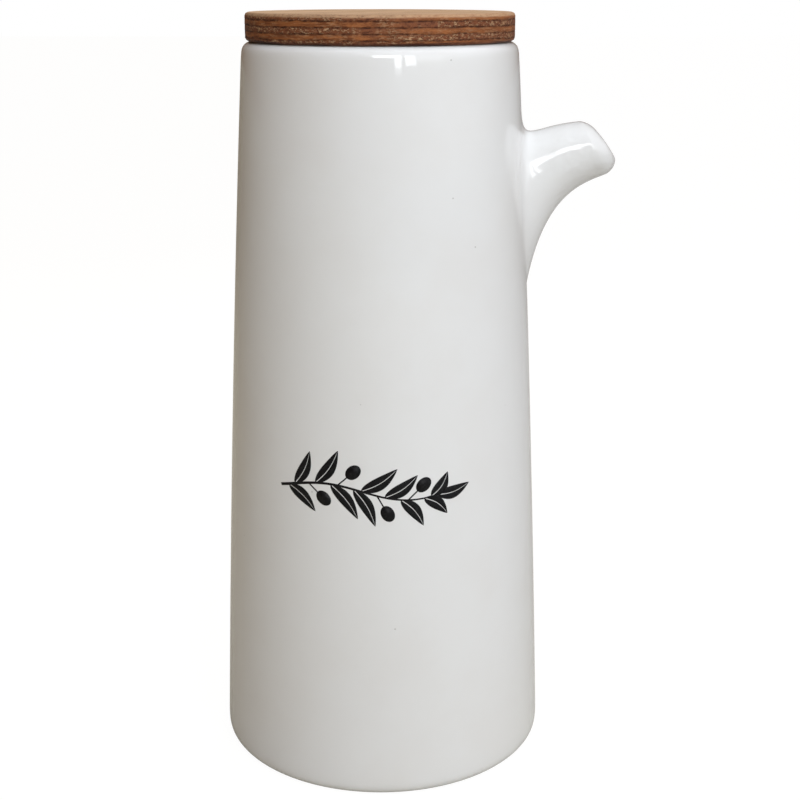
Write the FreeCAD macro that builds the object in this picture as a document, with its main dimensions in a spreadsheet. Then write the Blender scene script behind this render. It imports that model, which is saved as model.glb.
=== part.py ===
import FreeCAD, Part

import math
import os
import re

import Sketcher

# Glazed ceramic oil container with a beak spout and a plugged plywood lid.
# Millimetres, +Z up. The origin is on the vessel's axis, in the plane of its foot.
# The spout points along +X, and the front, which carries the print, faces -Y.

DRIVING_SIZES = {
    "vessel_height": 216.0,  # foot to the top of the rim
    "base_diameter": 100.8,
    "wall_bulge": 0.7,  # how far the side stands out from a straight taper
    "wall": 4.0,
    "floor_thickness": 6.5,
    "floor_chamfer": 5.0,
    "throat_diameter": 68.4,  # the straight bore that the lid's plug enters
    "rim_wall": 5.6,  # from the throat out to the vessel's side
    "throat_depth": 14.0,
    "shoulder": 2.6,  # legs of the corner's flat, which is rounded into the side and the rim
    "shoulder_radius": 4.0,
    "rim_inner_chamfer": 0.8,
    "foot_chamfer": 1.6,
    "foot_radius": 2.6,
    "foot_inset": 9.0,  # from the side to the edge of the recess under the base
    "foot_recess": 1.5,
    "spout_below_rim": 22.8,  # rim to the spout's crest
    "spout_length": 19.9,  # wall to the top of the mouth
    "spout_drop": 8.9,  # crest down to where the top line starts inside the vessel
    "spout_root_depth": 46.2,
    "spout_root_width": 20.0,
    "spout_end_depth": 18.0,
    "spout_end_width": 16.4,
    "root_tilt": 9.0,  # from the slope of the vessel's side
    "mouth_tilt": 39.7,
    "spout_wall": 4.7,
    "spout_wall_at_root": 10.0,
    "spout_overlap": 4.0,
    "mouth_lip_radius": 4.4,
    "root_fillet": 3.0,
    "lid_inset": 1.1,  # from the vessel's side in to the lid's edge
    "lid_thickness": 8.0,
    "lid_top_chamfer": 0.7,
    "lid_bottom_chamfer": 0.9,
    "plug_clearance": 1.3,  # plug to throat, all round
    "plug_depth": 10.0,
    "seal_below_lid": 2.4,
    "seal_height": 5.2,
    "seal_groove_depth": 2.0,
    "seal_fit": 0.1,  # seal to each side of its groove
    "seal_gap": 0.3,  # fin to throat
    "seal_band": 1.9,
    "seal_fin_thickness": 1.8,
    "seal_fins": 2,
}

doc = FreeCAD.newDocument("oil_container")
sheet = doc.addObject("Spreadsheet::Sheet", "Sizes")
for row, (alias, size) in enumerate(DRIVING_SIZES.items(), start=1):
    sheet.set(f"A{row}", alias)
    sheet.set(f"B{row}", str(size))
    sheet.setAlias(f"B{row}", alias)
doc.recompute()


def tied(formula):
    """The formula with each size written as the cell of the sheet that holds it."""

    def cell(word):
        return f"Sizes.{word[0]}" if word[0] in DRIVING_SIZES else word[0]

    return re.sub(r"[a-z]\w*", cell, formula)


def number(formula):
    """What the formula gives now."""
    result = sheet.evalExpression(tied(formula))
    return float(getattr(result, "Value", result))


def bind(thing, prop, formula):
    thing.setExpression(prop, tied(formula))


RIM_RADIUS = "(throat_diameter / 2 + rim_wall)"


def side_radius(height):
    """Formula for the vessel's outer radius at a height."""
    share = f"({height}) / vessel_height"
    straight = f"base_diameter / 2 - (base_diameter / 2 - {RIM_RADIUS}) * {share}"
    return f"({straight} + 4 * wall_bulge * {share} * (1 - {share}))"


def new_body(name):
    body = doc.addObject("PartDesign::Body", name)
    body.Label = name
    return body


def origin_part(body, role):
    """One of the body's own planes or axes."""
    return next(thing for thing in body.Origin.OriginFeatures if thing.Role == role)


def new_sketch(body, name, role):
    sketch = body.newObject("Sketcher::SketchObject", name)
    sketch.AttachmentSupport = [(origin_part(body, role), "")]
    sketch.MapMode = "FlatFace"
    return sketch


def place_point(sketch, geometry, end, x, z):
    """Ties one end of a piece of geometry to two formulas, measured from the sketch's origin."""
    for kind, formula in (("DistanceX", x), ("DistanceY", z)):
        index = sketch.addConstraint(Sketcher.Constraint(kind, -1, 1, geometry, end, number(formula)))
        bind(sketch, f"Constraints[{index}]", formula)


def draw_profile(sketch, points):
    """A closed outline of straight sides through (x, z) formulas, drawn anticlockwise. A point that
    also gives a radius is a corner rounded by an arc, and stays as a point for the sizes to act on."""
    count = len(points)
    corners = [FreeCAD.Vector(number(point[0]), number(point[1]), 0) for point in points]
    enters, leaves = list(corners), list(corners)
    centres = {}
    for i, (x, z, *radius) in enumerate(points):
        if radius:
            back = (corners[i - 1] - corners[i]).normalize()
            on = (corners[(i + 1) % count] - corners[i]).normalize()
            size, half = number(radius[0]), back.getAngle(on) / 2
            enters[i] = corners[i] + back * (size / math.tan(half))
            leaves[i] = corners[i] + on * (size / math.tan(half))
            centres[i] = corners[i] + (back + on).normalize() * (size / math.sin(half))
    sides = [sketch.addGeometry(Part.LineSegment(leaves[i - 1], enters[i]), False) for i in range(count)]
    for i, (x, z, *radius) in enumerate(points):
        side, then = sides[i], sides[(i + 1) % count]
        if not radius:
            sketch.addConstraint(Sketcher.Constraint("Coincident", side, 2, then, 1))
            place_point(sketch, side, 2, x, z)
            continue
        circle = Part.Circle(centres[i], FreeCAD.Vector(0, 0, 1), number(radius[0]))
        arms = [spot - centres[i] for spot in (enters[i], leaves[i])]
        start, end = (math.atan2(arm.y, arm.x) for arm in arms)
        arc = sketch.addGeometry(Part.ArcOfCircle(circle, start, end), False)
        corner = sketch.addGeometry(Part.Point(corners[i]), True)
        place_point(sketch, corner, 1, x, z)
        for line in (side, then):
            sketch.addConstraint(Sketcher.Constraint("PointOnObject", corner, 1, line))
        sketch.addConstraint(Sketcher.Constraint("Tangent", side, 2, arc, 1))
        sketch.addConstraint(Sketcher.Constraint("Tangent", arc, 2, then, 1))
        index = sketch.addConstraint(Sketcher.Constraint("Radius", arc, number(radius[0])))
        bind(sketch, f"Constraints[{index}]", radius[0])
    doc.recompute()
    return sketch


def turned(body, kind, name, points):
    """A full Revolution or Groove of the outline round the vessel's axis. It is drawn on the YZ plane,
    which puts the seam of its round faces at the back, away from the spout."""
    sketch = draw_profile(new_sketch(body, f"{name}_profile", "YZ_Plane"), points)
    feature = body.newObject(f"PartDesign::{kind}", name)
    feature.Profile = sketch
    feature.ReferenceAxis = (sketch, ["V_Axis"])
    feature.Angle = 360.0
    sketch.Visibility = False
    doc.recompute()
    return feature


def edges_where(feature, wanted):
    names = [f"Edge{i}" for i, edge in enumerate(feature.Shape.Edges, start=1) if wanted(edge)]
    if not names:
        raise RuntimeError(f"{feature.Name} has no edge to round")
    return names


def ring_at(radius, height, near=0.05):
    """A test for a circular edge round the axis, from two formulas."""
    wanted_radius, wanted_height = number(radius), number(height)

    def test(edge):
        curve = edge.Curve
        return (
            curve.TypeId == "Part::GeomCircle"
            and abs(curve.Radius - wanted_radius) < near
            and abs(curve.Center.z - wanted_height) < near
            and curve.Center.x ** 2 + curve.Center.y ** 2 < near
        )

    return test


def round_edges(body, name, wanted, radius, kind="Fillet"):
    """A Fillet, or a Chamfer, on the edges of the body's last feature that pass the test."""
    base = body.Tip
    feature = body.newObject(f"PartDesign::{kind}", name)
    feature.Base = (base, edges_where(base, wanted))
    size = "Radius" if kind == "Fillet" else "Size"
    setattr(feature, size, number(radius))
    bind(feature, size, radius)
    base.Visibility = False
    doc.recompute()
    return feature


# Heights of the two bends in the vessel's side, as shares of its height
SIDE_BENDS = (0.3, 0.62)

# A cut that opens a face runs on past it by this much
PAST_FACE = 1

# An edge is looked at in this many spots, and lies on the vessel's side within this distance
EDGE_SPOTS = 9
NEAR_SIDE = 1

# The spout's shares run from 0, inside the vessel, to 1 at the mouth. Its passage starts further
# in and runs on past the mouth, so that it cuts through at both ends.

SPOUT_SHARES = (0.0, 0.2, 0.45, 0.7, 1.0)
PASSAGE_SHARES = (-0.12, 0.3, 0.7, 1.12)

# How fast the spout narrows from its root in depth and in width, and turns up towards its mouth
DEPTH_POWER, WIDTH_POWER, TILT_POWER = 3.16, 2, 1.83
CREST = "(vessel_height - spout_below_rim)"
SPOUT_START = f"({side_radius(CREST)} - wall - spout_overlap)"
SPOUT_REACH = f"({side_radius(CREST)} + spout_length)"
ROOT_SLANT = f"(root_tilt + atan((base_diameter / 2 - {RIM_RADIUS}) / vessel_height) / 1 deg)"


def spout_section(body, name, share, hollow):
    """An oval across the spout at a share of its length, on its skin or on its passage."""
    left, along = max(0.0, 1 - share), max(0.0, share)
    depth = f"(spout_end_depth + (spout_root_depth - spout_end_depth) * {left ** DEPTH_POWER:.6f})"
    width = f"(spout_end_width + (spout_root_width - spout_end_width) * {left ** WIDTH_POWER:.6f})"
    tilt = f"({ROOT_SLANT} + (mouth_tilt - {ROOT_SLANT}) * {along ** TILT_POWER:.6f})"
    top_x = f"({SPOUT_START} + ({SPOUT_REACH} - {SPOUT_START}) * {share})"
    top_z = f"({CREST} - spout_drop * {(1 - share) ** 2:.6f})"  # a parabola that levels off at the mouth
    centre_x = f"{top_x} + {depth} / 2 * sin({tilt})"
    centre_z = f"{top_z} - {depth} / 2 * cos({tilt})"

    sketch = new_sketch(body, name, "YZ_Plane")
    # On this plane the sketch's x is the frame's Y, its y is Z, and its normal is X
    turned_by = FreeCAD.Rotation(FreeCAD.Vector(1, 0, 0), -number(tilt))
    centre = FreeCAD.Vector(0, number(centre_z), number(centre_x))
    sketch.AttachmentOffset = FreeCAD.Placement(centre, turned_by)
    bind(sketch, "AttachmentOffset.Base.y", centre_z)
    bind(sketch, "AttachmentOffset.Base.z", centre_x)
    bind(sketch, "AttachmentOffset.Rotation.Angle", f"0 - {tilt}")

    tall, across = depth, width
    if hollow:
        tall = f"{depth} - 2 * (spout_wall + (spout_wall_at_root - spout_wall) * {left ** WIDTH_POWER:.6f})"
        across = f"{width} - 2 * spout_wall"
    long_way, short_way = (tall, across) if number(tall) >= number(across) else (across, tall)
    long_axis = FreeCAD.Vector(0, 1, 0) if long_way == tall else FreeCAD.Vector(1, 0, 0)
    short_axis = FreeCAD.Vector(-long_axis.y, long_axis.x, 0)
    half_long, half_short = number(long_way) / 2, number(short_way) / 2
    oval = sketch.addGeometry(
        Part.Ellipse(long_axis * half_long, short_axis * half_short, FreeCAD.Vector(0, 0, 0)), False
    )
    sketch.exposeInternalGeometry(oval)
    long_line, short_line = oval + 1, oval + 2
    upright = "Vertical" if long_way == tall else "Horizontal"
    sketch.addConstraint(Sketcher.Constraint("Coincident", oval, 3, -1, 1))
    sketch.addConstraint(Sketcher.Constraint(upright, long_line))
    for line, formula in ((long_line, long_way), (short_line, short_way)):
        index = sketch.addConstraint(Sketcher.Constraint("Distance", line, 1, line, 2, number(formula)))
        bind(sketch, f"Constraints[{index}]", formula)
    doc.recompute()
    return sketch


def spout_loft(body, kind, name, shares, hollow):
    sections = [spout_section(body, f"{name}_section_{i}", share, hollow) for i, share in enumerate(shares)]
    loft = body.newObject(f"PartDesign::{kind}", name)
    loft.Profile = sections[0]
    loft.Sections = sections[1:]
    loft.Ruled = False
    for section in sections:
        section.Visibility = False
    doc.recompute()
    return loft


def build_vessel():
    body = new_body("vessel")
    bends = [(side_radius(f"vessel_height * {share}"), f"vessel_height * {share}") for share in SIDE_BENDS]
    turned(
        body,
        "Revolution",
        "outside",
        [
            ("0", "0"),
            ("base_diameter / 2 - foot_chamfer", "0"),
            (side_radius("foot_chamfer"), "foot_chamfer", "foot_radius"),
            *bends,
            (RIM_RADIUS, "vessel_height - shoulder", "shoulder_radius"),
            (f"{RIM_RADIUS} - shoulder", "vessel_height", "shoulder_radius"),
            ("0", "vessel_height"),
        ],
    )
    spout_loft(body, "AdditiveLoft", "spout", SPOUT_SHARES, hollow=False)

    def stand_out(edge):
        """How far the points of an edge on the spout's side stand out from the vessel's side."""
        spots = edge.discretize(EDGE_SPOTS)
        if min(spot.x for spot in spots) < 0 or max(spot.y for spot in spots) < NEAR_SIDE:
            return []
        return [math.hypot(spot.x, spot.y) - number(side_radius(f"{spot.z:.6f}")) for spot in spots]

    def at_root(edge):
        return any(stand_out(edge)) and max(map(abs, stand_out(edge))) < NEAR_SIDE

    def at_mouth(edge):
        return any(stand_out(edge)) and min(stand_out(edge)) > number("spout_length") / 2

    round_edges(body, "root_blend", at_root, "root_fillet")
    round_edges(body, "mouth_lip", at_mouth, "mouth_lip_radius")

    throat = "throat_diameter / 2"
    throat_foot = "vessel_height - throat_depth"
    inner_low = f"({side_radius('floor_thickness')} - wall)"
    over_rim = f"vessel_height + {PAST_FACE}"
    turned(
        body,
        "Groove",
        "cavity",
        [
            ("0", "floor_thickness"),
            (inner_low, "floor_thickness"),
            (throat, throat_foot),
            (throat, over_rim),
            ("0", over_rim),
        ],
    )
    round_edges(body, "floor_corner", ring_at(inner_low, "floor_thickness"), "floor_chamfer", "Chamfer")
    round_edges(body, "rim_inside", ring_at(throat, "vessel_height"), "rim_inner_chamfer", "Chamfer")
    spout_loft(body, "SubtractiveLoft", "passage", PASSAGE_SHARES, hollow=True)
    recess, under_foot = "base_diameter / 2 - foot_inset", f"0 - {PAST_FACE}"
    turned(
        body,
        "Groove",
        "recess",
        [("0", under_foot), (recess, under_foot), (recess, "foot_recess"), ("0", "foot_recess")],
    )
    return body


def build_lid_disc():
    body = new_body("lid_disc")
    edge, under, top = f"({RIM_RADIUS} - lid_inset)", "vessel_height", "vessel_height + lid_thickness"
    turned(body, "Revolution", "blank", [("0", under), (edge, under), (edge, top), ("0", top)])
    round_edges(body, "top_edge", ring_at(edge, top), "lid_top_chamfer", "Chamfer")
    round_edges(body, "bottom_edge", ring_at(edge, under), "lid_bottom_chamfer", "Chamfer")
    return body


PLUG_RADIUS = "(throat_diameter / 2 - plug_clearance)"
GROOVE_RADIUS = f"({PLUG_RADIUS} - seal_groove_depth)"
GROOVE_TOP = "(vessel_height - seal_below_lid)"
GROOVE_FOOT = f"({GROOVE_TOP} - seal_height)"


def build_lid_plug():
    body = new_body("lid_plug")
    under = "vessel_height - plug_depth"
    turned(
        body,
        "Revolution",
        "blank",
        [("0", under), (PLUG_RADIUS, under), (PLUG_RADIUS, "vessel_height"), ("0", "vessel_height")],
    )
    turned(
        body,
        "Groove",
        "seal_groove",
        [
            (GROOVE_RADIUS, GROOVE_FOOT),
            (f"{PLUG_RADIUS} + {PAST_FACE}", GROOVE_FOOT),
            (f"{PLUG_RADIUS} + {PAST_FACE}", GROOVE_TOP),
            (GROOVE_RADIUS, GROOVE_TOP),
        ],
    )
    return body


def build_seal_ring():
    body = new_body("seal_ring")
    low, high = f"({GROOVE_FOOT} + seal_fit)", f"({GROOVE_TOP} - seal_fit)"
    band = f"({GROOVE_RADIUS} + seal_band)"
    outline = [(GROOVE_RADIUS, low), (band, low), (band, high), (GROOVE_RADIUS, high)]
    turned(body, "Revolution", "band", outline)
    tip = "(throat_diameter / 2 - seal_gap)"
    root = f"({band} - seal_band / 2)"
    fin_middle, fin_top = f"({low} + seal_fin_thickness / 2)", f"({low} + seal_fin_thickness)"
    fin_outline = [(root, low), (band, low), (tip, fin_middle), (band, fin_top), (root, fin_top)]
    fin = turned(body, "Revolution", "fin", fin_outline)
    fins = body.newObject("PartDesign::LinearPattern", "fins")
    fins.Originals = [fin]
    fins.Direction = (origin_part(body, "Z_Axis"), [""])
    fins.Occurrences = int(number("seal_fins"))
    bind(fins, "Length", f"{high} - {low} - seal_fin_thickness")
    bind(fins, "Occurrences", "seal_fins")
    body.Tip = fins
    doc.recompute()
    return body


def check_and_write(bodies):
    """Stops on any object that failed, then writes each body as parts/NAME.step."""
    failed = [thing.Name for thing in doc.Objects if {"Invalid", "Error"} & set(thing.State)]
    if failed:
        raise RuntimeError(f"these did not build: {failed}")
    os.makedirs("parts", exist_ok=True)
    for body in bodies:
        shape = body.Shape
        if shape.isNull() or not shape.isValid() or len(shape.Solids) != 1:
            raise RuntimeError(f"{body.Label} is not one valid solid")
        shape.exportStep(f"parts/{body.Label}.step")
        box = shape.optimalBoundingBox(False)
        across = f"x {box.XMin:.1f} to {box.XMax:.1f}, z {box.ZMin:.1f} to {box.ZMax:.1f}"
        print(f"{body.Label}: {shape.Volume / 1000:.1f} cm3, {across}")


check_and_write([build_vessel(), build_lid_disc(), build_lid_plug(), build_seal_ring()])
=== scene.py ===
import math

import bmesh
import bpy
from mathutils import Matrix, Vector, noise
from mathutils.bvhtree import BVHTree


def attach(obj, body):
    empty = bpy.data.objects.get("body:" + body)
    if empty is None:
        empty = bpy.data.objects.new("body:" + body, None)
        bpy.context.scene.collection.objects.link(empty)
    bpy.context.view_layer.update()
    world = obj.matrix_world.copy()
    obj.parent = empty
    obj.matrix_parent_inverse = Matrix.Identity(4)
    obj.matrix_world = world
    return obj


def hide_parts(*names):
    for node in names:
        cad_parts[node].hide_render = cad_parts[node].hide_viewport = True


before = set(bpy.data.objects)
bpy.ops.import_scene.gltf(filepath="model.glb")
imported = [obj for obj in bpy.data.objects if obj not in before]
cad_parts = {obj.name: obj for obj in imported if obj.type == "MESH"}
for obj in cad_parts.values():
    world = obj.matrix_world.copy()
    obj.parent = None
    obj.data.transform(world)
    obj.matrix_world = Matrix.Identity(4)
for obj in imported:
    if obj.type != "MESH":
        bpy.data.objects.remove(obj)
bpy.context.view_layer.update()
print("frame loaded:", sorted(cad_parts))

# Sizes are in millimetres, as in the CAD. Each finished mesh is scaled to metres.
metresPerMm = 0.001


def blendTo(first, second, share):
    return first + (second - first) * share


def easeDown(distance, reach):
    # 1 at no distance, 0 from the reach on, with no kink at either end
    share = min(max(1 - distance / reach, 0.0), 1.0)
    return share * share * (3 - 2 * share)


def spinProfile(bm, points, steps):
    # Turns a line of (radius, height) points once round the vessel's axis
    verts = [bm.verts.new((radius, 0, height)) for radius, height in points]
    edges = [bm.edges.new(pair) for pair in zip(verts, verts[1:])]
    bmesh.ops.spin(
        bm, geom=verts + edges, cent=(0, 0, 0), axis=(0, 0, 1), dvec=(0, 0, 0),
        angle=2 * math.pi, steps=steps, use_merge=True, use_normal_flip=False, use_duplicate=False,
    )
    bmesh.ops.remove_doubles(bm, verts=bm.verts, dist=1e-4)


def ringEdges(bm, radius, height):
    slack = 0.02  # for rounding in the spun rings

    def onRing(vert):
        return abs(vert.co.z - height) < slack and abs(math.hypot(vert.co.x, vert.co.y) - radius) < slack

    return [edge for edge in bm.edges if all(onRing(vert) for vert in edge.verts)]


def bevelRing(bm, radius, height, offset, segments):
    bmesh.ops.bevel(
        bm, geom=ringEdges(bm, radius, height), offset=offset, offset_type="OFFSET",
        affect="EDGES", segments=segments, profile=0.5, material=-1, clamp_overlap=True,
    )


def finishPiece(bm, name, material, body):
    # Closes the bmesh off as an object in metres that rides on a body
    bmesh.ops.scale(bm, vec=(metresPerMm,) * 3, verts=bm.verts)
    for face in bm.faces:
        face.smooth = True
    mesh = bpy.data.meshes.new(name)
    bm.to_mesh(mesh)
    bm.free()
    piece = bpy.data.objects.new(name, mesh)
    bpy.context.scene.collection.objects.link(piece)
    mesh.materials.append(material)
    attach(piece, body)
    return piece


class Wire:
    # One socket of a material's nodes. Sums on wires add Math nodes.
    def __init__(self, tree, socket=None):
        self.tree = tree
        self.socket = socket

    def node(self, kind, settings=None, inputs=None, output=0):
        made = self.tree.nodes.new(kind)
        for name, value in (settings or {}).items():
            if name == "stops":
                ramp = made.color_ramp.elements
                ramp[0].position, ramp[0].color = value[0]
                ramp[1].position, ramp[1].color = value[-1]
                for place, tone in value[1:-1]:
                    ramp.new(place).color = tone
            else:
                setattr(made, name, value)
        setSockets(made, inputs or {})
        return Wire(self.tree, made.outputs[output])

    def math(self, operation, *terms):
        return self.node("ShaderNodeMath", {"operation": operation}, dict(enumerate(terms)))

    def __add__(self, other):
        return self.math("ADD", self, other)

    def __radd__(self, other):
        return self.math("ADD", other, self)

    def __sub__(self, other):
        return self.math("SUBTRACT", self, other)

    def __rsub__(self, other):
        return self.math("SUBTRACT", other, self)

    def __mul__(self, other):
        return self.math("MULTIPLY", self, other)

    def __rmul__(self, other):
        return self.math("MULTIPLY", other, self)

    def __truediv__(self, other):
        return self.math("DIVIDE", self, other)

    def __rtruediv__(self, other):
        return self.math("DIVIDE", other, self)


def setSockets(node, values):
    # A wire is linked to the socket, and a number or colour is set on it
    for name, value in values.items():
        if isinstance(value, Wire):
            node.id_data.links.new(value.socket, node.inputs[name])
        else:
            node.inputs[name].default_value = value


def newMaterial(name):
    # Gives the material, a bare wire that nodes start from, and its shader
    material = bpy.data.materials.new(name)
    material.use_nodes = True
    tree = material.node_tree
    return material, Wire(tree), tree.nodes["Principled BSDF"]


def stretchBy(place, factors):
    return place.node("ShaderNodeVectorMath", {"operation": "MULTIPLY"}, {0: place, 1: factors})


def objectPlace(start):
    # The object's own coordinates in millimetres
    return stretchBy(start.node("ShaderNodeTexCoord", output="Object"), (1 / metresPerMm,) * 3)


def partOf(place, axis):
    return place.node("ShaderNodeSeparateXYZ", None, {0: place}, axis)


def placeAt(x, y, z):
    # The first is a wire, and the others may be numbers
    return x.node("ShaderNodeCombineXYZ", None, {0: x, 1: y, 2: z})


def noiseAt(place, scale, detail=2.0, roughness=0.5, distortion=0.0):
    # The scale is in waves to each unit of the place, a millimetre where it isn't stretched
    inputs = {"Vector": place, "Scale": scale, "Detail": detail}
    inputs.update({"Roughness": roughness, "Distortion": distortion})
    return place.node("ShaderNodeTexNoise", None, inputs, "Fac")


def smoothBetween(wire, low, high, toLow=0.0, toHigh=1.0):
    inputs = {"Value": wire, "From Min": low, "From Max": high, "To Min": toLow, "To Max": toHigh}
    return wire.node("ShaderNodeMapRange", {"interpolation_type": "SMOOTHSTEP"}, inputs)


def mixColours(factor, first, second):
    # Sockets 0, 6 and 7 are the factor and the two colours, and output 2 is the colour
    return factor.node("ShaderNodeMix", {"data_type": "RGBA"}, {0: factor, 6: first, 7: second}, 2)


def rampOf(factor, stops):
    return factor.node("ShaderNodeValToRGB", {"stops": stops}, {0: factor})


def bumpFrom(height, distance, under=None):
    # The distance is in millimetres. A finer bump lies on the one under it.
    inputs = {"Height": height, "Distance": distance * metresPerMm, "Strength": 1.0}
    if under:
        inputs["Normal"] = under
    return height.node("ShaderNodeBump", None, inputs)


def colour(red, green, blue):
    return (red, green, blue, 1.0)


# The vessel's glaze
glazeLook = {
    "white": colour(0.80, 0.80, 0.79),
    "warmer": colour(0.785, 0.78, 0.765),  # where the glaze lies thinner
    "pinhole": colour(0.16, 0.13, 0.11),
    "pinholeShare": 0.35,
    "pinholesPerMm": 0.083,
    "pinholeEdge": (0.013, 0.026),  # in shares of the space between two pinholes
    "bareClay": colour(0.62, 0.57, 0.5),
    "clayGrit": colour(0.7, 0.66, 0.6),
    "bareUpTo": 0.7,  # height of the unglazed foot ring
    "bareFade": 0.25,
    "bareRoughness": 0.6,  # added to that of the glaze
    "roughness": (0.035, 0.07),
    "coat": 0.5,
    "coatRoughness": 0.03,
    "waves": 0.05,  # height of the glaze's slow waves
    "ripples": 0.25,  # height of the shorter ones on the spout, where the glaze ran
    "ripplesFrom": (44.0, 54.0),  # X over which they set in
    "peel": 0.0012,
    "grit": 0.03,
}


def makeGlaze(look):
    material, start, shader = newMaterial("whiteGlaze")
    place = objectPlace(start)
    thin = noiseAt(place, 0.035, 3.0, 0.55)
    tone = mixColours(smoothBetween(thin, 0.4, 0.7), look["white"], look["warmer"])

    cells = {"Vector": place, "Scale": look["pinholesPerMm"]}
    spots = start.node("ShaderNodeTexVoronoi", {"feature": "F1"}, cells, "Distance")
    pinhole = 1 - smoothBetween(spots, *look["pinholeEdge"])
    tone = mixColours(pinhole * look["pinholeShare"], tone, look["pinhole"])

    # The glaze ends in a wavering line above the foot
    edgeWander = noiseAt(place, 0.5) * 0.4
    glazeEdge = look["bareUpTo"] - look["bareFade"], look["bareUpTo"]
    bare = 1 - smoothBetween(partOf(place, "Z") - edgeWander, *glazeEdge)
    grit = noiseAt(place, 3.0, 4.0, 0.7)
    clay = mixColours(grit, look["bareClay"], look["clayGrit"])

    low, high = look["roughness"]
    cloud = smoothBetween(noiseAt(place, 0.09, 3.0), 0.3, 0.7)
    gloss = cloud * (high - low) + low
    waves = bumpFrom(noiseAt(place, 0.032, 1.0), look["waves"])
    onSpout = smoothBetween(partOf(place, "X"), *look["ripplesFrom"])
    ripples = bumpFrom(noiseAt(place, 0.3, 1.0) * onSpout, look["ripples"], waves)
    peel = bumpFrom(noiseAt(place, 0.6, 1.0), look["peel"], ripples)
    setSockets(shader, {
        "Base Color": mixColours(bare, tone, clay),
        "Roughness": gloss + bare * look["bareRoughness"],
        "Coat Weight": (1 - bare) * look["coat"],
        "Coat Roughness": look["coatRoughness"],
        "IOR": 1.5,
        "Normal": bumpFrom(grit * bare - pinhole * 2.0, look["grit"], peel),
    })
    return material


# The vessel: body and spout are one mesh, as they are one casting
vesselSizes = {
    "height": 216.0,
    "baseRadius": 50.4,
    "rimRadius": 39.8,
    "bulge": 0.7,  # how far the side swells past a straight line from foot to rim
    "wall": 4.0,
    "floor": 6.5,
    "throatRadius": 34.2,
    "throatDepth": 14.0,
    "recessRadius": 41.4,
    "recessDepth": 1.5,
    "footBevel": 3.4,
    "shoulderBevel": 3.9,
    "rimInnerBevel": 0.8,
    "throatFootBevel": 1.2,
    "floorBevel": 5.0,
    "footInnerBevel": 0.8,
    "recessBevel": 0.6,
    "columns": 64,
    # heights of the grid's rows on the side, from the foot up to the spout and above it
    "sideRows": (9, 22, 36, 50, 65, 80, 95, 110, 124, 136),
    "topRows": (199.0, 204.0, 208.5),
    "outerHole": (144.0, 194.5),  # heights between which the wall opens into the spout's skin
    "outerHoleHalfWidth": 12.0,
    # the same for the inside of the wall
    "innerSideRows": (17, 30, 45, 60, 75, 90, 104, 118, 130),
    "innerTopRows": (190.0,),
    "innerHole": (140.5, 181.0),
    "innerHoleHalfWidth": 5.6,
    "holeColumns": 3,  # to each side of the spout's plane
    "holeRows": 5,  # above and below the hole's middle
    "bendReach": 5,  # cells round the hole over which its oval bends the grid
    "throatRow": 5.0,  # depth of the throat's one row
    "floorRows": (30.0, 15.0),  # radii of the floor's rings
    "recessRow": 20.0,
}


def sideRadius(height):
    share = height / vesselSizes["height"]
    straight = blendTo(vesselSizes["baseRadius"], vesselSizes["rimRadius"], share)
    return straight + 4 * vesselSizes["bulge"] * share * (1 - share)


def boreRadius(height):
    # Inside of the wall, from the floor up to the foot of the throat
    low, high = vesselSizes["floor"], vesselSizes["height"] - vesselSizes["throatDepth"]
    foot = sideRadius(low) - vesselSizes["wall"]
    return blendTo(foot, vesselSizes["throatRadius"], (height - low) / (high - low))


def holeHeights(low, high):
    rows = 2 * vesselSizes["holeRows"]
    return [blendTo(low, high, row / rows) for row in range(rows + 1)]


def vesselProfile(outerRows, boreRows):
    # From the middle of the recess out, up the side, over the rim and down to the middle of the floor
    sizes = vesselSizes
    top, floor, recess = sizes["height"], sizes["floor"], sizes["recessDepth"]
    rim, throat = sizes["rimRadius"], sizes["throatRadius"]
    profile = [(0, recess), (sizes["recessRow"], recess), (sizes["recessRadius"], recess)]
    profile += [(sizes["recessRadius"], 0), (sizes["baseRadius"], 0)]
    profile += [(sideRadius(height), height) for height in outerRows]
    profile += [(rim, top), ((rim + throat) / 2, top), (throat, top)]
    profile += [(throat, top - sizes["throatRow"]), (throat, top - sizes["throatDepth"])]
    profile += [(boreRadius(height), height) for height in reversed(boreRows)]
    profile += [(radius, floor) for radius in (boreRadius(floor), *sizes["floorRows"], 0)]
    return profile


def ovalTurn(column, row):
    # Angle from the oval's top for a place on the edge of the block of cells that is cut out
    sideways, upward = vesselSizes["holeColumns"], vesselSizes["holeRows"]
    step = math.pi / (2 * (sideways + upward))
    if abs(row) == upward:
        return column * step if row > 0 else math.pi - column * step
    return math.copysign(math.pi / 2 - row * step, column)


def facesInHole(bm, radiusAt, hole, halfTurn):
    found = []
    for face in bm.faces:
        centre = face.calc_center_median()
        onWall = abs(math.hypot(centre.x, centre.y) - radiusAt(centre.z)) < 1
        if onWall and hole[0] < centre.z < hole[1] and abs(math.atan2(centre.y, centre.x)) < halfTurn:
            found.append(face)
    return found


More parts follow.
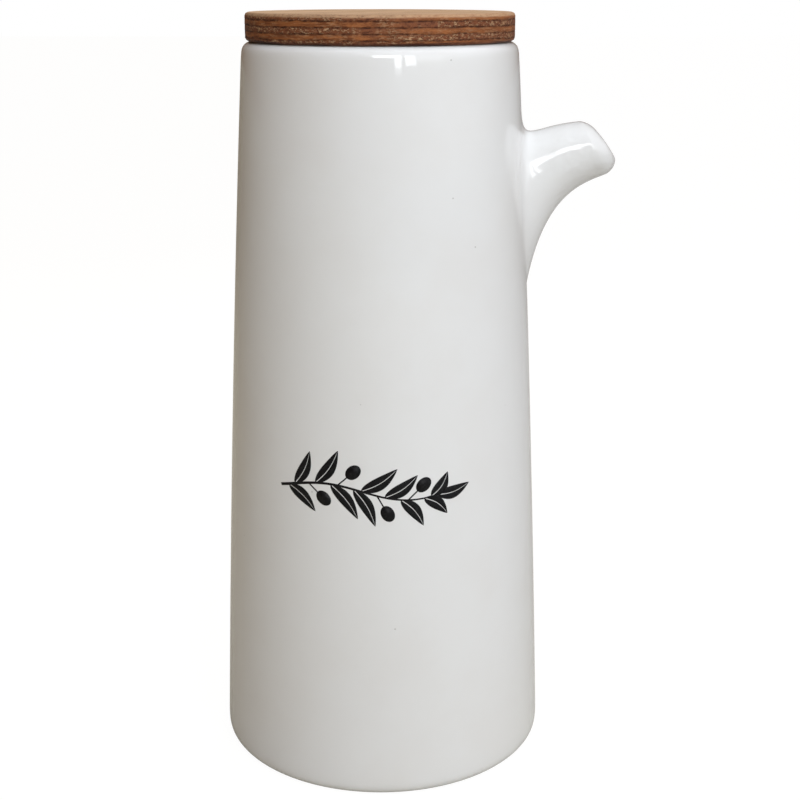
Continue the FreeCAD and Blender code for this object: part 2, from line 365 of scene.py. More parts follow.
def openWall(bm, radiusAt, rows, hole, halfWidth):
    # Bends the wall's grid towards an oval and takes out the faces inside it.
    # The grid stays on the wall, so the wall keeps its shape right up to the oval.
    columnStep = 2 * math.pi / vesselSizes["columns"]
    sideways, upward = vesselSizes["holeColumns"], vesselSizes["holeRows"]
    middle, halfHeight = (hole[0] + hole[1]) / 2, (hole[1] - hole[0]) / 2
    middleRow = rows.index(hole[0]) + upward
    wallRadius = radiusAt(middle)
    slack = 0.01  # for rounding in the spun grid
    moved = {}
    for vert in bm.verts:
        height, radius = vert.co.z, math.hypot(vert.co.x, vert.co.y)
        onWall = abs(radius - radiusAt(height)) < 0.5
        if not onWall or height > rows[-1] + slack or height < rows[0] - slack:
            continue
        row = min(range(len(rows)), key=lambda i: abs(rows[i] - height)) - middleRow
        column = math.atan2(vert.co.y, vert.co.x) / columnStep
        edgeColumn = min(max(column, -sideways), sideways)
        edgeRow = min(max(row, -upward), upward)
        away = max(abs(column - edgeColumn), abs(row - edgeRow))
        inside = away < slack and abs(edgeColumn) < sideways - slack and abs(edgeRow) < upward
        if inside or away >= vesselSizes["bendReach"]:
            continue
        turn = ovalTurn(edgeColumn, edgeRow)
        pull = easeDown(away, vesselSizes["bendReach"])
        across = column * columnStep * wallRadius
        across += (halfWidth * math.sin(turn) - edgeColumn * columnStep * wallRadius) * pull
        up = height + (middle + halfHeight * math.cos(turn) - rows[edgeRow + middleRow]) * pull
        moved[vert] = (across / wallRadius, up)
    cutOut = facesInHole(bm, radiusAt, hole, sideways * columnStep)
    for vert, (turn, up) in moved.items():
        radius = radiusAt(up)
        vert.co = (radius * math.cos(turn), radius * math.sin(turn), up)
    bmesh.ops.delete(bm, geom=cutOut, context="FACES")
    return [edge for edge in bm.edges if len(edge.link_faces) == 1]


spoutSizes = {
    "belowRim": 22.8,  # top of its crest
    "length": 19.9,  # of the crest, past the wall
    "drop": 8.9,  # of the crest, from its top to its root
    "overlap": 4.0,  # how far in from the inside of the wall it starts
    "rootDepth": 46.2,
    "rootWidth": 20.0,
    "endDepth": 18.0,
    "endWidth": 16.4,
    "rootTilt": 11.8,
    "mouthTilt": 39.7,
    "depthPower": 3.16,  # powers of the way along the spout by which these change
    "widthPower": 2,
    "dropPower": 2,
    "tiltPower": 1.83,
    "wall": 4.7,
    "wallAtRoot": 10.0,  # over and under the passage
    "mouthShare": 0.992,  # the smoothed lip swells a little, so the mouth sits back by as much
    "lipRadius": (4.35, 7.0),  # at its underside and at its top
    "lipFlat": 4.2,  # how far the lip's flat reaches in from the mouth's outline
    # rings of the skin: shares of the spout's length at its top and its underside, and an inset
    "skinRings": (
        (0.33, 0.06, -0.9),
        (0.45, 0.2, -0.1),
        (0.57, 0.37, 0.0),
        (0.68, 0.53, 0.0),
        (0.785, 0.68, 0.0),
        (0.88, 0.815, 0.0),
    ),
    "lipRings": (1 / 6, 1 / 2, 5 / 6, 1),  # shares of the lip's arc
    "passageRings": (0.965, 0.9, 0.79, 0.65, 0.5, 0.36),
}


def spoutPoint(share, turn, insetDeep, insetWide):
    # A point on the spout at a share of its length, turned from its top by an angle
    sizes = spoutSizes
    left = max(1 - share, 0.0)
    crest = vesselSizes["height"] - sizes["belowRim"]
    start = sideRadius(crest) - vesselSizes["wall"] - sizes["overlap"]
    reach = sideRadius(crest) + sizes["length"]
    depth = blendTo(sizes["endDepth"], sizes["rootDepth"], left ** sizes["depthPower"])
    width = blendTo(sizes["endWidth"], sizes["rootWidth"], left ** sizes["widthPower"])
    tiltShare = max(share, 0.0) ** sizes["tiltPower"]
    tilt = math.radians(blendTo(sizes["rootTilt"], sizes["mouthTilt"], tiltShare))
    down = Vector((math.sin(tilt), 0, -math.cos(tilt)))
    top = Vector((blendTo(start, reach, share), 0, crest - sizes["drop"] * left ** sizes["dropPower"]))
    centre = top + down * (depth / 2)
    deep, wide = depth / 2 - insetDeep, width / 2 - insetWide
    return centre - down * (deep * math.cos(turn)) + Vector((0, wide * math.sin(turn), 0))


def lipPoint(turn, part):
    # The lip is an arc from the spout's skin to the flat of its mouth
    radius = blendTo(*spoutSizes["lipRadius"], (1 + math.cos(turn)) / 2)
    mouth = spoutSizes["mouthShare"]
    step = 0.03  # back along the spout, for the way that its skin runs
    corner = spoutPoint(mouth, turn, 0, 0)
    back = (spoutPoint(mouth - step, turn, 0, 0) - corner).normalized()
    inward = (spoutPoint(mouth, turn, 1, 1) - corner).normalized()
    bend = back.angle(inward)
    offset = radius / math.tan(bend / 2)
    centre = corner + (back + inward).normalized() * (radius / math.sin(bend / 2))
    outward = (corner + back * offset - centre).normalized()
    sweep = min(math.pi - bend, math.acos(1 - spoutSizes["wall"] * math.sin(bend) / radius))
    angle = part * sweep
    onArc = centre + (outward * math.cos(angle) - back * math.sin(angle)) * radius
    if part == 1:
        return onArc + inward * max(spoutSizes["lipFlat"] - offset, 0)
    # The smoothed surface runs inside its cage, whose rings here are a third of the sweep apart
    swell = 3 / (2 + math.cos(sweep / 3))
    return centre + (onArc - centre) * swell


def addRing(bm, pointAt):
    count = 4 * (vesselSizes["holeColumns"] + vesselSizes["holeRows"])
    circle = bmesh.ops.create_circle(bm, cap_ends=False, radius=1, segments=count)["verts"]
    for vert in circle:
        vert.co = pointAt(math.atan2(vert.co.x, vert.co.y))
    return list({edge for vert in circle for edge in vert.link_edges})


def spoutLoops(bm):
    # Rings out over the skin, round the lip and back in along the passage
    loops = []
    for topShare, lowShare, inset in spoutSizes["skinRings"]:
        def onSkin(turn):
            share = blendTo(lowShare, topShare, (1 + math.cos(turn)) / 2)
            return spoutPoint(share, turn, inset, inset)

        loops.append(addRing(bm, onSkin))
    for part in spoutSizes["lipRings"]:
        loops.append(addRing(bm, lambda turn: lipPoint(turn, part)))
    for share in spoutSizes["passageRings"]:
        thick = blendTo(spoutSizes["wall"], spoutSizes["wallAtRoot"], (1 - share) ** 2)
        loops.append(addRing(bm, lambda turn: spoutPoint(share, turn, thick, spoutSizes["wall"])))
    return loops


def buildVessel():
    # The body is spun, its wall opened inside and out, and the two ovals joined through the spout
    sizes = vesselSizes
    outerRows = [*sizes["sideRows"], *holeHeights(*sizes["outerHole"]), *sizes["topRows"]]
    boreRows = [*sizes["innerSideRows"], *holeHeights(*sizes["innerHole"]), *sizes["innerTopRows"]]
    bm = bmesh.new()
    spinProfile(bm, vesselProfile(outerRows, boreRows), sizes["columns"])
    outerLoop = openWall(bm, sideRadius, outerRows, sizes["outerHole"], sizes["outerHoleHalfWidth"])
    innerLoop = openWall(bm, boreRadius, boreRows, sizes["innerHole"], sizes["innerHoleHalfWidth"])
    innerLoop = [edge for edge in innerLoop if edge not in outerLoop]
    loops = [outerLoop, *spoutLoops(bm), innerLoop]
    for near, far in zip(loops, loops[1:]):
        bmesh.ops.bridge_loops(bm, edges=near + far)

    top, throatFoot = sizes["height"], sizes["height"] - sizes["throatDepth"]
    rings = (
        # radius and height, then the bevel's width and segments
        (sizes["baseRadius"], 0, sizes["footBevel"], 3),
        (sizes["rimRadius"], top, sizes["shoulderBevel"], 3),
        (sizes["throatRadius"], top, sizes["rimInnerBevel"], 2),
        (sizes["throatRadius"], throatFoot, sizes["throatFootBevel"], 2),
        (boreRadius(sizes["floor"]), sizes["floor"], sizes["floorBevel"], 3),
        (sizes["recessRadius"], 0, sizes["footInnerBevel"], 2),
        (sizes["recessRadius"], sizes["recessDepth"], sizes["recessBevel"], 2),
    )
    for ring in rings:
        bevelRing(bm, *ring)
    bmesh.ops.recalc_face_normals(bm, faces=bm.faces)
    torn = sum(len(edge.link_faces) != 2 for edge in bm.edges)
    print("vessel cage:", len(bm.faces), "faces,", torn, "open edges")
    piece = finishPiece(bm, "glazedVessel", makeGlaze(glazeLook), "vessel")
    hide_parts("vessel")
    smooth = piece.modifiers.new("smooth", "SUBSURF")
    smooth.levels = smooth.render_levels = 2
    return piece


vesselPiece = buildVessel()
print("vessel built")

# The lid's board
lidSizes = {
    "radius": 38.68,
    "foot": 216.0,
    "top": 224.0,
    "topBevel": 1.0,
    "footBevel": 1.0,
    "glueLines": (217.3, 218.95, 220.6, 222.25),
    "glueGap": 0.07,  # how far a glue line lies back from the sawn edge
    "glueHalf": 0.12,  # half the height of that groove
    "edgeRows": 14,
    "faceRing": 0.6,  # share of the radius at which each face has a ring
    "sawRoughness": 0.09,
    "sawScale": (0.45, 0.45, 1.7),  # waves to each millimetre along X, Y and Z
    "steps": 288,
}

plywoodLook = {
    "turned": -38.0,  # degrees from X to the grain of the second and fourth plies
    "wander": 1.3,  # how far the plies' colours wander up and down
    "darkFibre": colour(0.055, 0.017, 0.008),
    "midFibre": colour(0.18, 0.058, 0.022),
    "orangeFibre": colour(0.35, 0.125, 0.042),
    "endDark": colour(0.08, 0.026, 0.013),
    "endMid": colour(0.23, 0.08, 0.036),
    "tornFibre": colour(0.58, 0.345, 0.185),
    "glue": colour(0.045, 0.013, 0.006),
    "topPale": colour(0.66, 0.44, 0.27),
    "topMid": colour(0.53, 0.335, 0.195),
    "topPore": colour(0.28, 0.15, 0.08),
    "roughness": 0.62,
    "relief": 0.16,
}


def nearEdge(far, inner, outer):
    # Grows from 0 to 1 between two distances in from the sawn edge. far is the radius squared.
    return smoothBetween(far, (lidSizes["radius"] - inner) ** 2, (lidSizes["radius"] - outer) ** 2)


def glueAt(place, level):
    # Dark lines between the plies, fainter in stretches
    lines = []
    for line in lidSizes["glueLines"]:
        squaredGap = (level - line) * (level - line)
        lines.append(1 - smoothBetween(squaredGap, 0.002, 0.13))
    stretches = smoothBetween(noiseAt(place, 0.4, 3.0, 0.7), 0.35, 0.65, 0.15, 0.9)
    return sum(lines) * stretches


def sandedFace(look, along, across, far):
    # The colour and the relief of the top and the underside: one wide veneer, sanded and oiled
    grain = noiseAt(placeAt(across * 0.018, along * 0.16, 2.0), 1.0, 5.0, 0.62, 0.6)
    tone = mixColours(smoothBetween(grain, 0.36, 0.62), look["topPale"], look["topMid"])
    pores = smoothBetween(noiseAt(placeAt(across * 0.12, along * 3.4, 5.0), 1.0, 3.0, 0.6), 0.57, 0.68)
    tone = mixColours(pores * 0.55, tone, look["topPore"])
    tone = mixColours(nearEdge(far, 2.6, 0.9) * 0.25, tone, look["topMid"])
    return tone, grain * 0.3 - pores * 0.5


def makePlywood(look):
    material, start, shader = newMaterial("plywood")
    place = objectPlace(start)
    x, y, z = [partOf(place, axis) for axis in "XYZ"]
    turn = math.radians(look["turned"])
    along = x * math.cos(turn) + y * math.sin(turn)
    across = y * math.cos(turn) - x * math.sin(turn)
    far = x * x + y * y
    onEdge = nearEdge(far, 1.2, 0.8)
    wander = noiseAt(place, 0.15, 4.0, 0.65) - 0.5
    level = z + wander * look["wander"]

    # Which ply: steps up at each glue line, and the second and fourth have their grain along
    steps = [smoothBetween(level, line - 0.03, line + 0.03) for line in lidSizes["glueLines"]]
    count = sum(steps)
    isAlong = steps[0] - steps[1] + steps[2] - steps[3]
    run = isAlong * along + (1 - isAlong) * across
    cross = isAlong * across + (1 - isAlong) * along

    # Fibres run along the grain, so the same pattern shows streaks on the side and dots on the end
    def fibresAt(alongScale, acrossScale, upScale, seed, detail, roughness):
        spot = placeAt(run * alongScale + count * seed, cross * acrossScale, z * upScale)
        return noiseAt(spot, 1.0, detail, roughness)

    bands = fibresAt(0.045, 0.5, 1.3, 7.3, 3.0, 0.6)
    fine = fibresAt(0.16, 3.2, 5.0, 3.1, 4.0, 0.65)
    fibre = bands * 0.62 + fine * 0.38
    dark, middle, orange = look["darkFibre"], look["midFibre"], look["orangeFibre"]
    longTone = rampOf(fibre, [(0.30, dark), (0.46, middle), (0.58, orange), (0.72, orange)])
    plyTone = noiseAt(placeAt(count * 5.7, 0.5, 1.5), 1.0)  # some plies are more orange
    longTone = mixColours(smoothBetween(plyTone, 0.35, 0.65, 0.0, 0.35), longTone, orange)
    endSpeck = fibresAt(0.7, 0.95, 1.7, 9.1, 4.0, 0.7)
    endStops = [(0.36, look["endDark"]), (0.52, look["endMid"]), (0.66, middle), (0.8, look["tornFibre"])]
    facesEnd = smoothBetween(run * run / (far + 1.0), 0.22, 0.72) * onEdge
    tone = mixColours(facesEnd, longTone, rampOf(endSpeck, endStops))

    # Pale fibres that the saw tore, in patches, mostly on end grain
    torn = smoothBetween(fibresAt(0.3, 0.95, 1.9, 4.7, 5.0, 0.75), 0.5, 0.6)
    patches = smoothBetween(noiseAt(place, 0.16, 2.0), 0.36, 0.55)
    tornShare = torn * patches * (facesEnd * 0.6 + 0.3) * onEdge
    tone = mixColours(tornShare, tone, look["tornFibre"])
    glueShare = glueAt(place, level) * onEdge
    tone = mixColours(glueShare, tone, look["glue"])

    # The upper arris is rubbed pale, and along the lower one a dark line in the glue's colour is painted in
    # stretches: painted shade for the shadow in the gap where the board sits on the rim
    faceTone, faceRelief = sandedFace(look, along, across, far)
    tone = mixColours(1 - onEdge, tone, faceTone)
    worn = smoothBetween(z + wander * 0.6, lidSizes["top"] - 1.1, lidSizes["top"] - 0.5) * onEdge
    tone = mixColours(worn * smoothBetween(endSpeck, 0.3, 0.6, 0.4, 0.9), tone, look["topMid"])
    # Painted shade along the lower arris, in stretches, for the shadow under the board's edge
    low = smoothBetween(z + wander * 0.5, lidSizes["foot"] + 0.35, lidSizes["foot"] + 0.95)
    stretches = smoothBetween(noiseAt(place, 0.06, 2.0), 0.35, 0.6, 0.45, 0.95)
    tone = mixColours(nearEdge(far, 2.2, 1.4) * (1 - low) * stretches, tone, look["glue"])

    edgeRelief = fine * 0.5 + endSpeck * facesEnd * 0.9 - glueShare * 0.6 + tornShare * 0.8
    relief = edgeRelief * onEdge + faceRelief * (1 - onEdge)
    setSockets(shader, {
        "Base Color": tone,
        "Roughness": look["roughness"] - fibre * 0.2 + glueShare * 0.1,
        "Specular IOR Level": 0.16,
        "Normal": bumpFrom(relief, look["relief"]),
    })
    return material


def roughenEdge(bm, sizes):
    # The sawn edge pulls in a little here and there
    for vert in bm.verts:
        radius = math.hypot(vert.co.x, vert.co.y)
        if radius < sizes["radius"] - 1:
            continue
        spot = Vector([part * scale for part, scale in zip(vert.co, sizes["sawScale"])])
        pull = sizes["sawRoughness"] * (0.5 + 0.5 * noise.noise(spot))
        vert.co.x *= 1 - pull / radius
        vert.co.y *= 1 - pull / radius


def sawnEdge(sizes):
    # Points up the lid's side, with a shallow groove at each glue line
    low, high = sizes["foot"] + sizes["footBevel"], sizes["top"] - sizes["topBevel"]
    count = sizes["edgeRows"]
    gaps = {round(blendTo(low, high, row / count), 3): 0.0 for row in range(count + 1)}
    for line in sizes["glueLines"]:
        gaps.update({line - sizes["glueHalf"]: 0.0, line: sizes["glueGap"], line + sizes["glueHalf"]: 0.0})
    return [(sizes["radius"] - gap, height) for height, gap in sorted(gaps.items())]


def buildLid():
    sizes = lidSizes
    foot, top, radius = sizes["foot"], sizes["top"], sizes["radius"]
    footBevel, topBevel, ring = sizes["footBevel"], sizes["topBevel"], radius * sizes["faceRing"]
    profile = [(0, foot), (ring, foot), (radius - footBevel * 1.5, foot), (radius - footBevel, foot)]
    profile += [(radius - footBevel * 0.35, foot + footBevel * 0.35)]
    profile += sawnEdge(sizes)
    profile += [(radius - topBevel * 0.3, top - topBevel * 0.3), (radius - topBevel, top)]
    profile += [(radius - topBevel * 2, top), (ring, top), (0, top)]
    bm = bmesh.new()
    spinProfile(bm, profile, sizes["steps"])
    roughenEdge(bm, sizes)
    bmesh.ops.recalc_face_normals(bm, faces=bm.faces)
    piece = finishPiece(bm, "plywoodLid", makePlywood(plywoodLook), "lid")
    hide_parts("lid_disc")


buildLid()
print("lid built")

# The plug under the board, which enters the throat
plugSizes = {
    "radius": 32.9,
    "foot": 206.0,
    "top": 216.0,
    "bevel": 0.8,
    "grooveRadius": 30.9,
    "groove": (208.4, 213.6),
    "grooveBevel": 0.15,
    "faceRing": 0.6,
    "softEdge": 0.12,
    "steps": 192,
}

plugLook = {
    "pale": colour(0.60, 0.44, 0.28),
    "dark": colour(0.42, 0.27, 0.15),
    "pore": colour(0.25, 0.15, 0.08),
    "grainScale": (0.03, 0.5, 0.9),  # waves to each millimetre along X, Y and Z
    "poreScale": (0.16, 3.2, 3.2),
}


def makePlugWood(look):
    material, start, shader = newMaterial("plugWood")
    place = objectPlace(start)
    grain = noiseAt(stretchBy(place, look["grainScale"]), 1.0, 5.0, 0.6, 0.4)
    pores = smoothBetween(noiseAt(stretchBy(place, look["poreScale"]), 1.0, 3.0), 0.58, 0.7)
    tone = mixColours(smoothBetween(grain, 0.35, 0.65), look["pale"], look["dark"])
    tone = mixColours(pores * 0.6, tone, look["pore"])
    relief = bumpFrom(grain * 0.4 - pores * 0.6, 0.12)
    setSockets(shader, {"Base Color": tone, "Roughness": 0.72 - grain * 0.1, "Normal": relief})
    return material


def buildPlug():
    sizes = plugSizes
    radius, deep, bevel = sizes["radius"], sizes["grooveRadius"], sizes["bevel"]
    foot, top, ring = sizes["foot"], sizes["top"], radius * sizes["faceRing"]
    low, high = sizes["groove"]
    corner = sizes["grooveBevel"]
    profile = [(0, foot), (ring, foot), (radius - bevel, foot), (radius - bevel * 0.3, foot + bevel * 0.3)]
    profile += [(radius, foot + bevel), (radius, low - corner), (radius - corner, low), (deep, low)]
    profile += [(deep, high), (radius - corner, high), (radius, high + corner)]
    profile += [(radius, top), (ring, top), (0, top)]
    bm = bmesh.new()
    spinProfile(bm, profile, sizes["steps"])
    bmesh.ops.recalc_face_normals(bm, faces=bm.faces)
    piece = finishPiece(bm, "lidPlug", makePlugWood(plugLook), "lid")
    edges = piece.modifiers.new("softEdges", "BEVEL")
    edges.width = sizes["softEdge"] * metresPerMm
    edges.segments = 2
    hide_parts("lid_plug")


buildPlug()
print("plug built")

# The soft ring in the plug's groove
sealSizes = {
    "inner": 30.92,
    "band": 32.8,
    "bandBevel": 0.2,
    "tip": 33.9,
    "heights": (208.5, 213.5),
    "finHeights": (209.4, 212.6),
    "finHalf": 0.85,
    # a fin's outline from its root to its tip: how far in from the tip, and how far from its middle
    "finOutline": ((0.5, 0.42), (0.12, 0.25)),
    "steps": 192,
}

sealLook = {"milky": colour(0.80, 0.80, 0.77), "cloudy": colour(0.72, 0.72, 0.68)}


def makeSilicone(look):
    material, start, shader = newMaterial("softSeal")
    place = objectPlace(start)
    cloud = smoothBetween(noiseAt(place, 0.2, 3.0), 0.35, 0.65)
    dust = noiseAt(place, 4.0, 3.0, 0.7)
    setSockets(shader, {
        "Base Color": mixColours(cloud, look["milky"], look["cloudy"]),
        "Roughness": 0.36 + dust * 0.16,
        "Normal": bumpFrom(dust, 0.01),
    })
    return material


def buildSeal():
    sizes = sealSizes
    inner, band, tip = sizes["inner"], sizes["band"], sizes["tip"]
    low, high = sizes["heights"]
    profile = [(inner, low), (band - sizes["bandBevel"], low)]
    for middle in sizes["finHeights"]:
        lower = [(tip - back, middle - half) for back, half in sizes["finOutline"]]
        upper = [(tip - back, middle + half) for back, half in reversed(sizes["finOutline"])]
        profile += [(band, middle - sizes["finHalf"]), *lower, (tip, middle)]
        profile += [*upper, (band, middle + sizes["finHalf"])]
    profile += [(band - sizes["bandBevel"], high), (inner, high), (inner, low)]
    bm = bmesh.new()
    spinProfile(bm, profile, sizes["steps"])
    bmesh.ops.recalc_face_normals(bm, faces=bm.faces)
    piece = finishPiece(bm, "siliconeSeal", makeSilicone(sealLook), "lid")
    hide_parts("seal_ring")


buildSeal()
print("seal built")

# The print on the front
sprigSizes = {
    "middle": (-7.0, 94.5),  # X and Z of its middle, on the front wall
    "tilt": -1.0,
    "stemLength": 47.0,
    "stemWidth": (0.85, 0.4),
    "stemSegments": 60,
    "sway": 1.9,
    "swayFrom": 0.08,
    "pairs": 7,
    "pairsFrom": 0.07,  # shares of the stem at which the first and the last pair of leaves stand
    "pairsTo": 0.93,
    "stagger": {-1: -0.01, 1: 0.035},  # how far each side's leaves are moved along the stem
    "leafLength": (10.6, 14.2),
    "leafShrink": 0.25,  # towards the tip of the stem
    "leafWidth": 3.8,
    "leafPowers": (0.8, 0.85),  # a low first one moves the widest place towards the foot
    "leafBow": 0.9,
    "leafAngle": 51.0,
    "leafAngleLoss": 8.0,  # by the tip of the stem
    "leafSegments": (16, 3),
    "vein": 0.26,
    "veinOpens": 2.5,  # a high one has the vein open to its width close to the leaf's foot
    "veinNarrows": 0.6,  # share of its width that it loses by the leaf's tip
    "stalk": 3.6,
    "stalkWidth": 0.4,
    "stalkSegments": 4,
    "olives": ((1, -1), (2, 1), (4, -1), (5, 1)),  # pair and side at which an olive takes a leaf's place
    "oliveRadii": (2.5, 1.9),
    "oliveSegments": 28,
    "rayFrom": 1.3,  # in radii of the wall
    "above": 0.045,  # how far the print stands on the glaze
    "thick": 0.03,
}

printLook = {"ink": colour(0.004, 0.004, 0.005), "thinInk": colour(0.014, 0.014, 0.015)}


def makePrint(look):
    material, start, shader = newMaterial("blackPrint")
    place = objectPlace(start)
    thin = smoothBetween(noiseAt(place, 1.4, 3.0), 0.5, 0.72)
    cloud = noiseAt(place, 0.3, 2.0)
    setSockets(shader, {
        "Base Color": mixColours(thin, look["ink"], look["thinInk"]),
        "Roughness": 0.3 + cloud * 0.12,
        "Specular IOR Level": 0.2,
        "Normal": bumpFrom(thin, 0.004),
    })
    return material


def stemPoint(share):
    # Along the stem, in millimetres right of and above the sprig's middle
    sizes = sprigSizes
    across = (share - 0.5) * sizes["stemLength"]
    return Vector((across, sizes["sway"] * math.sin((share - sizes["swayFrom"]) * 2 * math.pi), 0))


def stemAngle(share):
    step = 0.01
    ahead = stemPoint(share + step) - stemPoint(share - step)
    return math.atan2(ahead.y, ahead.x)


def addShape(bm, segmentsAlong, segmentsAcross, shape):
    # A flat grid whose corners (0 to 1 each way) are sent to where the shape puts them
    made = bmesh.ops.create_grid(bm, x_segments=segmentsAlong, y_segments=segmentsAcross, size=0.5)["verts"]
    for vert in made:
        vert.co = shape(vert.co.x + 0.5, vert.co.y + 0.5)
    bmesh.ops.remove_doubles(bm, verts=made, dist=1e-3)


def addLeaf(bm, foot, angle, length, side):
    # Two halves with a bare vein between them, bowed a little towards the tip of the stem
    turn = Matrix.Rotation(angle, 3, "Z")
    sizes = sprigSizes
    skew, fullness = sizes["leafPowers"]
    for half in (-1, 1):
        def leafHalf(along, across):
            lens = math.sin(math.pi * along ** skew) ** fullness if 0 < along < 1 else 0.0
            narrowing = 1 - along * sizes["veinNarrows"]
            inner = sizes["vein"] / 2 * min(lens * sizes["veinOpens"], 1) * narrowing
            outer = max(sizes["leafWidth"] / 2 * lens, inner)
            reach = across if half > 0 else 1 - across
            offset = half * blendTo(inner, outer, reach)
            bow = -side * sizes["leafBow"] * math.sin(math.pi * along)
            return foot + turn @ Vector((length * along, offset + bow, 0))

        addShape(bm, *sizes["leafSegments"], leafHalf)


def addOlive(bm, foot, angle):
    # An oval on the end of a thin stalk
    away = Vector((math.cos(angle), math.sin(angle), 0))
    beside = Vector((-away.y, away.x, 0))
    deep, wide = sprigSizes["oliveRadii"]
    reach, width = sprigSizes["stalk"], sprigSizes["stalkWidth"]

    def stalk(along, across):
        return foot + away * (reach * along) + beside * ((across - 0.5) * width)

    addShape(bm, sprigSizes["stalkSegments"], 1, stalk)
    segments = sprigSizes["oliveSegments"]
    olive = bmesh.ops.create_circle(bm, cap_ends=True, cap_tris=True, segments=segments, radius=1)["verts"]
    for vert in olive:
        vert.co = foot + away * (reach + deep * (1 + vert.co.x)) + beside * (wide * vert.co.y)


def drawSprig(bm):
    # Flat, in millimetres right of and above its middle
    sizes = sprigSizes

    def stem(along, across):
        turn = stemAngle(along)
        width = blendTo(*sizes["stemWidth"], along)
        return stemPoint(along) + Vector((-math.sin(turn), math.cos(turn), 0)) * (across - 0.5) * width

    addShape(bm, sizes["stemSegments"], 1, stem)
    for pair in range(sizes["pairs"]):
        share = blendTo(sizes["pairsFrom"], sizes["pairsTo"], pair / (sizes["pairs"] - 1))
        for side, shift in sizes["stagger"].items():
            spot = share + shift
            lean = math.radians(sizes["leafAngle"] - sizes["leafAngleLoss"] * share)
            angle = stemAngle(spot) + lean * side
            if (pair, side) in sizes["olives"]:
                addOlive(bm, stemPoint(spot), angle)
                continue
            middling = math.sin(math.pi * min(max(spot, 0.0), 1.0))
            length = blendTo(*sizes["leafLength"], middling) * (1 - sizes["leafShrink"] * spot)
            addLeaf(bm, stemPoint(spot), angle, length, side)
    addLeaf(bm, stemPoint(1.0), stemAngle(1.0), sizes["leafLength"][0], 1)
    tilt = Matrix.Rotation(math.radians(sizes["tilt"]), 3, "Z")
    bmesh.ops.rotate(bm, cent=(0, 0, 0), matrix=tilt, verts=bm.verts)


def buildSprig(wall):
    # Each point is laid on the smoothed front wall, where a ray from outside meets it
    sizes = sprigSizes
    bm = bmesh.new()
    drawSprig(bm)
    middleX, middleZ = sizes["middle"]
    for vert in bm.verts:
        height = middleZ + vert.co.y
        turn = (middleX + vert.co.x) / sideRadius(height)
        outward = Vector((math.sin(turn), -math.cos(turn), 0))
        start = outward * sideRadius(height) * sizes["rayFrom"] + Vector((0, 0, height))
        spot, normal, _, _ = wall.ray_cast(start * metresPerMm, -outward)
        vert.co = spot / metresPerMm + normal * sizes["above"]
    piece = finishPiece(bm, "oliveSprigPrint", makePrint(printLook), "vessel")
    body = piece.modifiers.new("inkBody", "SOLIDIFY")
    body.thickness = sizes["thick"] * metresPerMm
    body.offset = -1


bpy.context.view_layer.update()
buildSprig(BVHTree.FromObject(vesselPiece, bpy.context.evaluated_depsgraph_get()))
print("sprig printed")

# Camera, floor and light
cameraSizes = {
    "lens": 63.61,
    "sensor": 36.0,
    "place": (5.71, -419.2, 232.32),
    "pitch": 73.5,  # degrees up from straight down
    "nearest": 10.0,
}


def placeCamera(sizes):
    data = bpy.data.cameras.new("photoCamera")
    data.lens = sizes["lens"]
    data.sensor_width = sizes["sensor"]
    data.clip_start = sizes["nearest"] * metresPerMm
    camera = bpy.data.objects.new("photoCamera", data)
    camera.location = Vector(sizes["place"]) * metresPerMm
    camera.rotation_euler = (math.radians(sizes["pitch"]), 0, 0)
    bpy.context.scene.collection.objects.link(camera)
    bpy.context.scene.camera = camera


placeCamera(cameraSizes)


def plainShare(start):
    # How far a ray sees plain white: in full from the camera and through glass, a little in a mirror
    mirroredShare = 0.05
    seen = start.node("ShaderNodeLightPath", output="Is Camera Ray")
    clear = start.node("ShaderNodeLightPath", output="Is Transmission Ray")
    mirrored = start.node("ShaderNodeLightPath", output="Is Glossy Ray")
    return seen + clear + mirrored * mirroredShare


floorLook = {
    "size": 12.0,  # in metres
    # The floor's colour is painted darker and warmer to the left than to the right: painted shade, so that
    # less light bounces onto the vessel's left side
    "paintedShadeSide": colour(0.43, 0.395, 0.3),
    "brightSide": colour(0.53, 0.53, 0.51),
    "turnsOver": (-330.0, 370.0),  # X between which the one side turns into the other
    "whiteShare": 0.85,
    "white": 1.13,  # makes up for the share that shows the light and the shadow
}


def makeFloor(look):
    material, start, shader = newMaterial("paleFloor")
    across = partOf(objectPlace(start), "X")
    # Painted shade: the floor turns from its darker side on the left to its brighter side on the right
    tone = mixColours(smoothBetween(across, *look["turnsOver"]), look["paintedShadeSide"], look["brightSide"])
    setSockets(shader, {"Base Color": tone, "Roughness": 0.9, "Specular IOR Level": 0.0})
    white = start.node("ShaderNodeEmission", None, {"Color": colour(1, 1, 1), "Strength": look["white"]})
    lit = Wire(material.node_tree, shader.outputs[0])
    share = plainShare(start) * look["whiteShare"]
    surface = start.node("ShaderNodeMixShader", None, {0: share, 1: lit, 2: white})
    setSockets(material.node_tree.nodes["Material Output"], {"Surface": surface})
    return material


def buildFloor(look):
    bm = bmesh.new()
    bmesh.ops.create_grid(bm, x_segments=1, y_segments=1, size=look["size"] / 2)
    mesh = bpy.data.meshes.new("paleFloor")
    bm.to_mesh(mesh)
    bm.free()
    floor = bpy.data.objects.new("paleFloor", mesh)
    bpy.context.scene.collection.objects.link(floor)
    mesh.materials.append(makeFloor(look))


buildFloor(floorLook)

# A window in the right front, whose panes show in the glaze
windowSizes = {
    "away": 1700.0,
    "tint": (0.95, 0.98, 1.0),
    "panes": (
        # azimuth from and to, elevation from and to (degrees), watts for each square metre
        (-5.0, 17.4, 17.0, 29.0, 18.0),
        (12.0, 17.4, 4.9, 16.9, 14.0),
        (12.0, 17.4, 3.5, 4.8, 5.0),
        (20.6, 29.5, 5.5, 27.0, 12.0),
        (31.0, 54.0, 8.0, 24.0, 3.2),
    ),
}

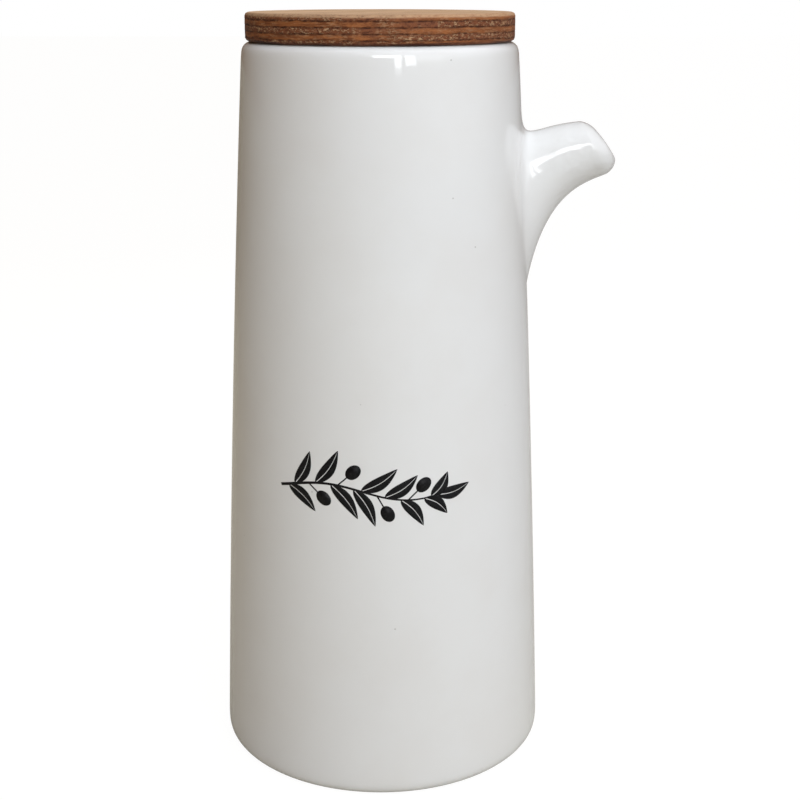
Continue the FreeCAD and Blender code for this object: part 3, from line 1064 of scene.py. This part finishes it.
softBoxes = {
    # above the front
    "softBox": {
        "azimuth": 13.0,
        "elevation": 46.5,
        "away": 650.0,
        "size": 350.0,
        "glow": 17.0,
        "tint": (0.78, 0.88, 0.98),
    },
    # a weaker one behind, so that the back isn't lost in the dark
    "backBox": {
        "azimuth": 176.0,
        "elevation": 30.0,
        "away": 650.0,
        "size": 350.0,
        "glow": 14.0,
        "tint": (0.9, 0.95, 1.0),
    },
}

lampsFaceHeight = 205.0  # on the vessel's axis


def wayTo(azimuth, elevation):
    # Azimuth is in degrees to the right of the front
    turn, lift = math.radians(azimuth), math.radians(elevation)
    return Vector((math.sin(turn) * math.cos(lift), -math.cos(turn) * math.cos(lift), math.sin(lift)))


def addPanel(name, way, away, width, height, glow, tint):
    # A flat lamp that faces the upper part of the vessel, with its glow in watts for each square metre
    data = bpy.data.lights.new(name, "AREA")
    data.shape = "RECTANGLE"
    data.size = width * metresPerMm
    data.size_y = height * metresPerMm
    data.energy = glow * data.size * data.size_y
    data.color = tint
    lamp = bpy.data.objects.new(name, data)
    lamp.location = (way * away + Vector((0, 0, lampsFaceHeight))) * metresPerMm
    lamp.rotation_euler = (-way).to_track_quat("-Z", "Y").to_euler()
    bpy.context.scene.collection.objects.link(lamp)
    return lamp


def buildLamps(window, boxes):
    away = window["away"]
    for number, (left, right, low, high, glow) in enumerate(window["panes"]):
        width, height = math.radians(right - left) * away, math.radians(high - low) * away
        way = wayTo((left + right) / 2, (low + high) / 2)
        addPanel(f"pane{number}", way, away, width, height, glow, window["tint"])
    for name, box in boxes.items():
        way, size = wayTo(box["azimuth"], box["elevation"]), box["size"]
        lamp = addPanel(name, way, box["away"], size, size, box["glow"], box["tint"])
        lamp.visible_glossy = False  # only the window shows in the glaze


buildLamps(windowSizes, softBoxes)

roomLook = {
    "azimuth": 64.0,  # of the bright side, to the right of the camera
    "elevation": 53.0,
    "fades": (0.29, 1.0),  # cosines of the angles from the bright side between which the light grows
    "dim": colour(0.15, 0.093, 0.056),
    "bright": colour(0.93, 0.915, 0.935),
}


def buildRoom(look):
    # Plain white to the camera, and a dim room with one bright side to the object
    world = bpy.data.worlds.new("room")
    world.use_nodes = True
    bpy.context.scene.world = world
    start = Wire(world.node_tree)
    way = start.node("ShaderNodeTexCoord", output="Generated")
    lobe = {0: way, 1: wayTo(look["azimuth"], look["elevation"])}
    facing = start.node("ShaderNodeVectorMath", {"operation": "DOT_PRODUCT"}, lobe, "Value")
    room = mixColours(smoothBetween(facing, *look["fades"]), look["dim"], look["bright"])
    share = start.math("MINIMUM", plainShare(start), 1.0)
    tone = mixColours(share, room, colour(1, 1, 1))
    setSockets(world.node_tree.nodes["Background"], {"Color": tone, "Strength": 1.0})


buildRoom(roomLook)
bpy.context.scene.view_settings.view_transform = "Standard"
print("stage set")

bpy.context.view_layer.update()
